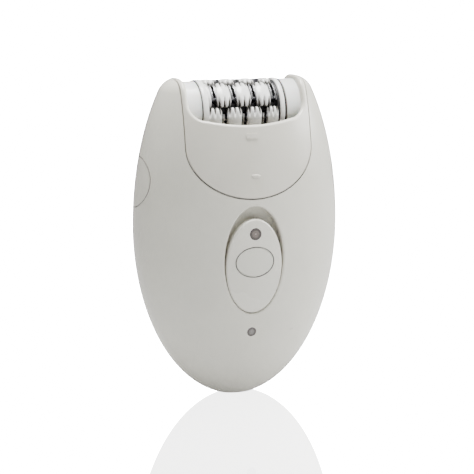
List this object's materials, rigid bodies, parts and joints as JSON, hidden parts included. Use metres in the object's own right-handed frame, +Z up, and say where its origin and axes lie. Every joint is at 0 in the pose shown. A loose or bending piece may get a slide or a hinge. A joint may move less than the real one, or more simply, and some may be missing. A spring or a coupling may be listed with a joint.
{
  "type": "epilator",
  "caption": "Egg-shaped cordless epilator with a motor-driven tweezer roller in a lift-off head, a thumb slider with a lock button and two side release buttons.",
  "frame": {"origin": "centre of the small flat foot at the bottom of the handle, on the plane it stands on", "axes": "+Z up the handle towards the tweezer head, -Y towards the front with the slider, +X to the right seen from the front"},
  "size_m": [0.062, 0.0356, 0.094],
  "materials": {
    "shell_white": "satin",
    "head_white": "satin",
    "slider_white": "satin",
    "button_white": "satin",
    "roller_white": "satin",
    "lens_smoke": "tinted",
    "tweezer_steel": "brushed",
    "bar_steel": "ground",
    "spring_steel": "drawn",
    "screw_steel": "plated",
    "motor_steel": "plated",
    "black_plastic": "moulded",
    "brass": "turned",
    "gear_plastic": "moulded",
    "plate_plastic": "moulded",
    "cell_wrap": "sleeved",
    "nickel": "plated",
    "board_green": "lacquered",
    "led_clear": "clear"
  },
  "bodies": {
    "handle": {"front_shell": "shell_white", "rear_shell": "shell_white", "status_lens": "lens_smoke", "release_spring_left": "spring_steel", "release_spring_right": "spring_steel", "case_screws": "screw_steel", "gearbox_screws": "screw_steel", "plate_screws": "screw_steel", "motor_can": "motor_steel", "motor_end_cap": "black_plastic", "power_switch": "black_plastic", "charging_socket": "black_plastic", "motor_terminals": "brass", "lower_bush": "brass", "upper_bush": "brass", "socket_pin": "brass", "socket_terminals": "brass", "gearbox_plate": "plate_plastic", "battery_cell": "cell_wrap", "battery_contacts": "nickel", "circuit_board": "board_green", "charge_led": "led_clear", "power_led": "led_clear"},
    "head": {"head_front_cover": "head_white", "head_rear_cover": "head_white", "head_screws": "screw_steel", "roller_axle": "bar_steel", "left_collar": "roller_white", "right_collar": "roller_white", "press_roller_pin": "bar_steel"},
    "roller": {"roller_drum": "roller_white", "roller_bushes": "brass", "crown_gear": "gear_plastic", "fixed_tweezers": "tweezer_steel", "star_spring": "spring_steel"},
    "press_roller": {"press_roller": "bar_steel"},
    "motor_rotor": {"motor_shaft": "bar_steel", "motor_pinion": "brass"},
    "transfer": {"transfer_gear": "gear_plastic", "transfer_shaft": "bar_steel", "output_pinion": "gear_plastic"},
    "slider": {"switch_slider": "slider_white", "slider_lens": "lens_smoke", "switch_lever": "black_plastic", "lock_spring": "spring_steel"},
    "lock_button": {"lock_button": "button_white"},
    "release_left": {"release_button_left": "button_white"},
    "release_right": {"release_button_right": "button_white"},
    "tweezer_row_1": {"push_bar_1": "bar_steel", "moving_tweezers_1": "tweezer_steel"},
    "tweezer_row_2": {"push_bar_2": "bar_steel", "moving_tweezers_2": "tweezer_steel"},
    "tweezer_row_3": {"push_bar_3": "bar_steel", "moving_tweezers_3": "tweezer_steel"},
    "tweezer_row_4": {"push_bar_4": "bar_steel", "moving_tweezers_4": "tweezer_steel"},
    "tweezer_row_5": {"push_bar_5": "bar_steel", "moving_tweezers_5": "tweezer_steel"},
    "tweezer_row_6": {"push_bar_6": "bar_steel", "moving_tweezers_6": "tweezer_steel"}
  },
  "joints": [
    {"name": "head_lift", "type": "slide", "parent": "handle", "child": "head", "axis": [0, 0, 1], "range_m": [0, 0.03]},
    {"name": "drum_spin", "type": "hinge", "parent": "head", "child": "roller", "pos_m": [0, 0, 0.084], "axis": [1, 0, 0], "continuous": true},
    {"name": "press_roller_spin", "type": "hinge", "parent": "head", "child": "press_roller", "pos_m": [-0.01425, 0, 0.084], "axis": [0, -0.7071, 0.7071], "continuous": true},
    {"name": "transfer_spin", "type": "hinge", "parent": "handle", "child": "transfer", "pos_m": [0.017, 0, 0.066], "axis": [0, 0, 1], "continuous": true},
    {"name": "motor_spin", "type": "hinge", "parent": "handle", "child": "motor_rotor", "pos_m": [0.0081, 0, 0.05], "axis": [0, 0, 1], "continuous": true},
    {"name": "switch_slide", "type": "slide", "parent": "handle", "child": "slider", "axis": [0, 0, 1], "range_m": [0, 0.0034]},
    {"name": "lock_press", "type": "slide", "parent": "slider", "child": "lock_button", "axis": [0, 1, 0], "range_m": [0, 0.0004], "stiffness_N_per_m": 500, "deforming": ["lock_spring"]},
    {"name": "release_left_press", "type": "slide", "parent": "handle", "child": "release_left", "axis": [1, 0, 0], "range_m": [0, 0.0012], "stiffness_N_per_m": 500, "deforming": ["release_spring_left"]},
    {"name": "release_right_press", "type": "slide", "parent": "handle", "child": "release_right", "axis": [-1, 0, 0], "range_m": [0, 0.0012], "stiffness_N_per_m": 500, "deforming": ["release_spring_right"]},
    {"name": "row_1_close", "type": "slide", "parent": "roller", "child": "tweezer_row_1", "axis": [1, 0, 0], "range_m": [0, 0.0006], "stiffness_N_per_m": 300},
    {"name": "row_2_close", "type": "slide", "parent": "roller", "child": "tweezer_row_2", "axis": [1, 0, 0], "range_m": [0, 0.0006], "stiffness_N_per_m": 300},
    {"name": "row_3_close", "type": "slide", "parent": "roller", "child": "tweezer_row_3", "axis": [1, 0, 0], "range_m": [0, 0.0006], "stiffness_N_per_m": 300},
    {"name": "row_4_close", "type": "slide", "parent": "roller", "child": "tweezer_row_4", "axis": [1, 0, 0], "range_m": [0, 0.0006], "stiffness_N_per_m": 300},
    {"name": "row_5_close", "type": "slide", "parent": "roller", "child": "tweezer_row_5", "axis": [1, 0, 0], "range_m": [0, 0.0006], "stiffness_N_per_m": 300},
    {"name": "row_6_close", "type": "slide", "parent": "roller", "child": "tweezer_row_6", "axis": [1, 0, 0], "range_m": [0, 0.0006], "stiffness_N_per_m": 300}
  ],
  "couplings": [
    {"joint": "transfer_spin", "follows": "drum_spin", "ratio": -3},
    {"joint": "motor_spin", "follows": "drum_spin", "ratio": 9}
  ]
}
